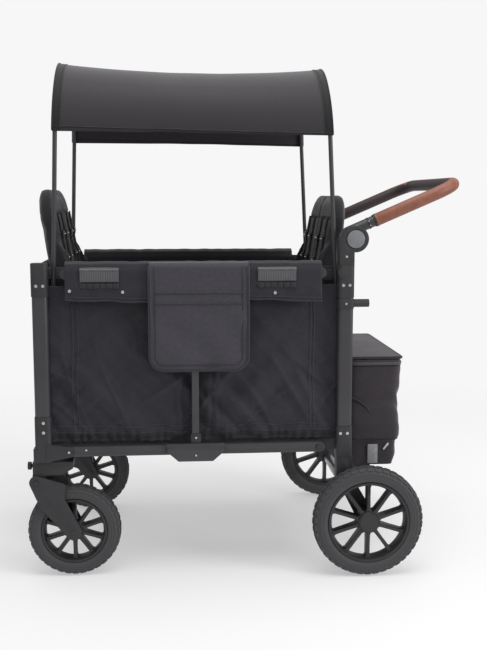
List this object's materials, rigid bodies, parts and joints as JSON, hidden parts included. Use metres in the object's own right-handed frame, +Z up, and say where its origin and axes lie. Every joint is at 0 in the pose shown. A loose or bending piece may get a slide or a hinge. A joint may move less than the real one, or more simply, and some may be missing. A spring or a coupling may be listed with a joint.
{
  "type": "folding pull wagon",
  "caption": "Folding pull wagon for children with facing padded seats, fabric tub, arched canopy on poles, swivelling front wheels, rear bag and a tilting push handle.",
  "frame": {"origin": "bottom centre of the whole wagon's box, on the floor", "axes": "+Z up, +X towards the push handle at the rear, +Y across the wagon to its far side"},
  "size_m": [1.002, 0.642, 1.1676],
  "materials": {
    "frame_tube": "satin charcoal powder coat",
    "frame_bar": "satin charcoal powder coat",
    "moulded_nylon": "fine moulded texture",
    "rim_nylon": "fine moulded texture",
    "tyre_rubber": "foam-filled tread",
    "axle_steel": "zinc plated",
    "tub_fabric": "coated polyester",
    "canopy_fabric": "tight plain-weave polyester",
    "grip_leather": "stitched tan leather",
    "button_grey": "smooth moulded"
  },
  "bodies": {
    "rear_frame": {"rear_post_near": "frame_tube", "rear_post_far": "frame_tube", "rear_top_bracket_near": "moulded_nylon", "rear_top_bracket_far": "moulded_nylon", "rear_foot_near": "moulded_nylon", "rear_foot_far": "moulded_nylon", "handle_upright_near": "moulded_nylon", "handle_upright_far": "moulded_nylon", "rear_axle": "axle_steel", "rear_panel": "tub_fabric", "rear_bag": "tub_fabric", "accessory_peg": "moulded_nylon", "rear_rivets": "axle_steel", "tub_base": "tub_fabric", "side_panel_near": "tub_fabric", "side_panel_far": "tub_fabric"},
    "bottom_rails_rear": {"bottom_rail_rear_near": "frame_bar", "bottom_rail_rear_far": "frame_bar"},
    "centre_strut": {"centre_plate_near": "frame_bar", "centre_plate_far": "frame_bar", "centre_bars": "frame_bar"},
    "bottom_rails_front": {"bottom_rail_front_near": "frame_bar", "bottom_rail_front_far": "frame_bar"},
    "top_rails_rear": {"top_rails_rear": "frame_bar"},
    "top_rails_front": {"top_rails_front": "frame_bar"},
    "front_frame": {"front_post_near": "frame_tube", "front_post_far": "frame_tube", "front_top_bracket_near": "moulded_nylon", "front_top_bracket_far": "moulded_nylon", "front_foot_near": "moulded_nylon", "front_foot_far": "moulded_nylon", "front_panel": "tub_fabric", "front_rivets": "axle_steel"},
    "bag_lid": {"bag_lid": "tub_fabric"},
    "brake_pedal": {"brake_pedal": "moulded_nylon"},
    "push_handle": {"handle_bar": "frame_bar", "handle_grip": "grip_leather"},
    "canopy_front": {"canopy_bow_front": "frame_bar", "canopy_fabric": "canopy_fabric"},
    "canopy_rear": {"canopy_bow_rear": "frame_bar"},
    "seat_front": {"seat_back_front": "tub_fabric"},
    "seat_rear": {"seat_back_rear": "tub_fabric"},
    "wheel_rear_near": {"tyre_rear_near": "tyre_rubber", "rim_rear_near": "rim_nylon"},
    "wheel_front_near": {"tyre_front_near": "tyre_rubber", "rim_front_near": "rim_nylon"},
    "caster_near": {"caster_head_near": "moulded_nylon"},
    "fork_near": {"caster_fork_near": "moulded_nylon"},
    "lock_near": {"caster_lock_near": "moulded_nylon"},
    "button_near": {"handle_button_near": "button_grey"},
    "flap_near": {"flap_near": "tub_fabric"},
    "wheel_rear_far": {"tyre_rear_far": "tyre_rubber", "rim_rear_far": "rim_nylon"},
    "wheel_front_far": {"tyre_front_far": "tyre_rubber", "rim_front_far": "rim_nylon"},
    "caster_far": {"caster_head_far": "moulded_nylon"},
    "fork_far": {"caster_fork_far": "moulded_nylon"},
    "lock_far": {"caster_lock_far": "moulded_nylon"},
    "button_far": {"handle_button_far": "button_grey"},
    "flap_far": {"flap_far": "tub_fabric"}
  },
  "joints": [
    {"name": "fold", "type": "hinge", "parent": "rear_frame", "child": "bottom_rails_rear", "pos_m": [0.16505, 0, 0.2935], "axis": [0, 1, 0], "range_deg": [0, 75], "deforming": ["side_panel_near", "side_panel_far", "tub_base", "canopy_fabric"]},
    {"name": "fold_strut", "type": "hinge", "parent": "bottom_rails_rear", "child": "centre_strut", "pos_m": [-0.05945, 0, 0.2935], "axis": [0, 1, 0], "range_deg": [-75, 0]},
    {"name": "fold_rails_front", "type": "hinge", "parent": "centre_strut", "child": "bottom_rails_front", "pos_m": [-0.17745, 0, 0.2935], "axis": [0, 1, 0], "range_deg": [-75, 0]},
    {"name": "fold_front_frame", "type": "hinge", "parent": "bottom_rails_front", "child": "front_frame", "pos_m": [-0.40195, 0, 0.2935], "axis": [0, 1, 0], "range_deg": [0, 75]},
    {"name": "fold_top_rear", "type": "hinge", "parent": "rear_frame", "child": "top_rails_rear", "pos_m": [0.16505, 0, 0.692], "axis": [0, 1, 0], "range_deg": [0, 75]},
    {"name": "fold_top_front", "type": "hinge", "parent": "centre_strut", "child": "top_rails_front", "pos_m": [-0.17745, 0, 0.692], "axis": [0, 1, 0], "range_deg": [-75, 0]},
    {"name": "handle_pivot", "type": "hinge", "parent": "rear_frame", "child": "push_handle", "pos_m": [0.24155, 0, 0.767], "axis": [0, 1, 0], "range_deg": [-60, 70]},
    {"name": "bag_lid_hinge", "type": "hinge", "parent": "rear_frame", "child": "bag_lid", "pos_m": [0.24005, 0, 0.49], "axis": [0, -1, 0], "range_deg": [0, 88]},
    {"name": "brake", "type": "hinge", "parent": "rear_frame", "child": "brake_pedal", "pos_m": [0.27245, 0, 0.127], "axis": [0, 1, 0], "range_deg": [0, 25]},
    {"name": "canopy_height", "type": "slide", "parent": "front_frame", "child": "canopy_front", "axis": [0.0332, 0, 0.9995], "range_m": [-0.15, 0]},
    {"name": "canopy_height_rear", "type": "slide", "parent": "rear_frame", "child": "canopy_rear", "axis": [-0.0488, 0, 0.9988], "range_m": [-0.15, 0]},
    {"name": "seat_recline_front", "type": "hinge", "parent": "front_frame", "child": "seat_front", "pos_m": [-0.38845, 0, 0.45], "axis": [0, 1, 0], "range_deg": [0, 12]},
    {"name": "seat_recline_rear", "type": "hinge", "parent": "rear_frame", "child": "seat_rear", "pos_m": [0.16155, 0, 0.45], "axis": [0, -1, 0], "range_deg": [0, 12]},
    {"name": "wheel_rear_near_spin", "type": "hinge", "parent": "rear_frame", "child": "wheel_rear_near", "pos_m": [0.27245, -0.2985, 0.127], "axis": [0, 1, 0], "continuous": true},
    {"name": "caster_near_swivel", "type": "hinge", "parent": "front_frame", "child": "caster_near", "pos_m": [-0.45895, -0.2403, 0.269], "axis": [0, 0, 1], "continuous": true},
    {"name": "fork_near_suspension", "type": "hinge", "parent": "caster_near", "child": "fork_near", "pos_m": [-0.47745, -0.2403, 0.224], "axis": [0, 1, 0], "range_deg": [-6, 0], "stiffness_Nm_per_rad": 80, "springref_deg": 8.59},
    {"name": "wheel_front_near_spin", "type": "hinge", "parent": "fork_near", "child": "wheel_front_near", "pos_m": [-0.39545, -0.2403, 0.1056], "axis": [0, 1, 0], "continuous": true},
    {"name": "caster_near_lock", "type": "slide", "parent": "caster_near", "child": "lock_near", "axis": [-1, 0, 0], "range_m": [0, 0.006], "stiffness_N_per_m": 100},
    {"name": "handle_button_near_press", "type": "slide", "parent": "rear_frame", "child": "button_near", "axis": [0, 1, 0], "range_m": [0, 0.004], "stiffness_N_per_m": 200},
    {"name": "flap_near_hinge", "type": "hinge", "parent": "centre_strut", "child": "flap_near", "pos_m": [-0.11845, -0.2815, 0.712], "axis": [-1, 0, 0], "range_deg": [0, 110]},
    {"name": "wheel_rear_far_spin", "type": "hinge", "parent": "rear_frame", "child": "wheel_rear_far", "pos_m": [0.27245, 0.2985, 0.127], "axis": [0, 1, 0], "continuous": true},
    {"name": "caster_far_swivel", "type": "hinge", "parent": "front_frame", "child": "caster_far", "pos_m": [-0.45895, 0.2403, 0.269], "axis": [0, 0, 1], "continuous": true},
    {"name": "fork_far_suspension", "type": "hinge", "parent": "caster_far", "child": "fork_far", "pos_m": [-0.47745, 0.2403, 0.224], "axis": [0, 1, 0], "range_deg": [-6, 0], "stiffness_Nm_per_rad": 80, "springref_deg": 8.59},
    {"name": "wheel_front_far_spin", "type": "hinge", "parent": "fork_far", "child": "wheel_front_far", "pos_m": [-0.39545, 0.2403, 0.1056], "axis": [0, 1, 0], "continuous": true},
    {"name": "caster_far_lock", "type": "slide", "parent": "caster_far", "child": "lock_far", "axis": [-1, 0, 0], "range_m": [0, 0.006], "stiffness_N_per_m": 100},
    {"name": "handle_button_far_press", "type": "slide", "parent": "rear_frame", "child": "button_far", "axis": [0, -1, 0], "range_m": [0, 0.004], "stiffness_N_per_m": 200},
    {"name": "flap_far_hinge", "type": "hinge", "parent": "centre_strut", "child": "flap_far", "pos_m": [-0.11845, 0.2815, 0.712], "axis": [1, 0, 0], "range_deg": [0, 110]}
  ],
  "couplings": [
    {"joint": "fold_strut", "follows": "fold", "ratio": -1},
    {"joint": "fold_rails_front", "follows": "fold", "ratio": -1},
    {"joint": "fold_front_frame", "follows": "fold", "ratio": 1},
    {"joint": "fold_top_rear", "follows": "fold", "ratio": 1},
    {"joint": "fold_top_front", "follows": "fold", "ratio": -1},
    {"joint": "canopy_height_rear", "follows": "canopy_height", "ratio": 1}
  ]
}
